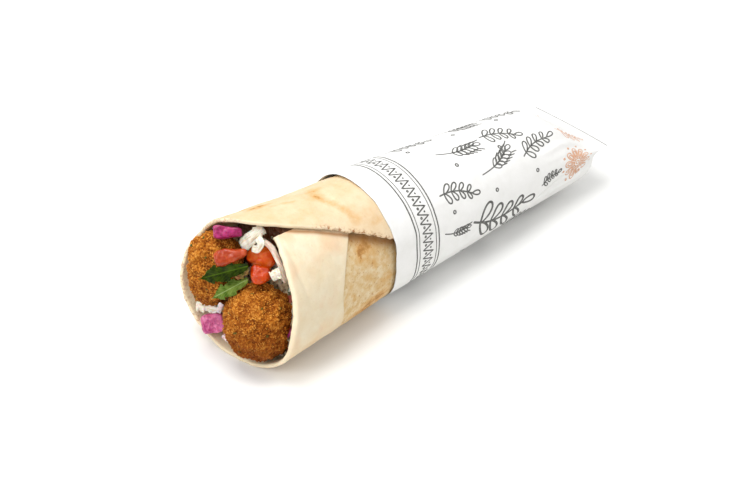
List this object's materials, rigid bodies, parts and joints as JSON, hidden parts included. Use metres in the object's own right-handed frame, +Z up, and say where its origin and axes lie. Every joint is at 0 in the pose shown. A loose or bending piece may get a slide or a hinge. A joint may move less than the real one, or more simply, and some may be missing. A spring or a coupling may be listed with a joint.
{
  "type": "falafel wrap",
  "caption": "Falafel wrap: flatbread rolled round falafel, tomato, pickled turnip, cabbage and parsley, in a paper sleeve pinched shut at its tail.",
  "frame": {"origin": "middle of the box's underside, on the surface the wrap rests on", "axes": "+X along the roll from the open end to the paper tail, +Y away from the side where the cuff shows, +Z up"},
  "size_m": [0.2522, 0.0754, 0.0744],
  "materials": {
    "flatbread": "soft baked flatbread with light brown toasting",
    "paper": "white greaseproof paper with a printed pattern",
    "salad": "moist mixed salad",
    "falafel": "coarse fried crust",
    "turnip": "moist pickled turnip",
    "tomato": "wet diced tomato",
    "cabbage": "moist white cabbage",
    "onion": "moist pale onion",
    "parsley": "fresh parsley leaf"
  },
  "bodies": {
    "root": {"flatbread": "flatbread", "paper_sleeve": "paper", "salad_core": "salad", "falafel_near": "falafel", "falafel_far": "falafel", "pickled_turnip_top": "turnip", "pickled_turnip_low": "turnip", "tomato_dice_left": "tomato", "tomato_dice_right": "tomato", "tomato_dice_low": "tomato", "cabbage_sheet": "cabbage", "cabbage_curl": "cabbage", "cabbage_strip": "cabbage", "cabbage_end": "cabbage", "cabbage_low": "cabbage", "onion_middle": "onion", "onion_low": "onion", "parsley_dark": "parsley", "parsley_light": "parsley", "parsley_middle": "parsley"}
  },
  "joints": []
}
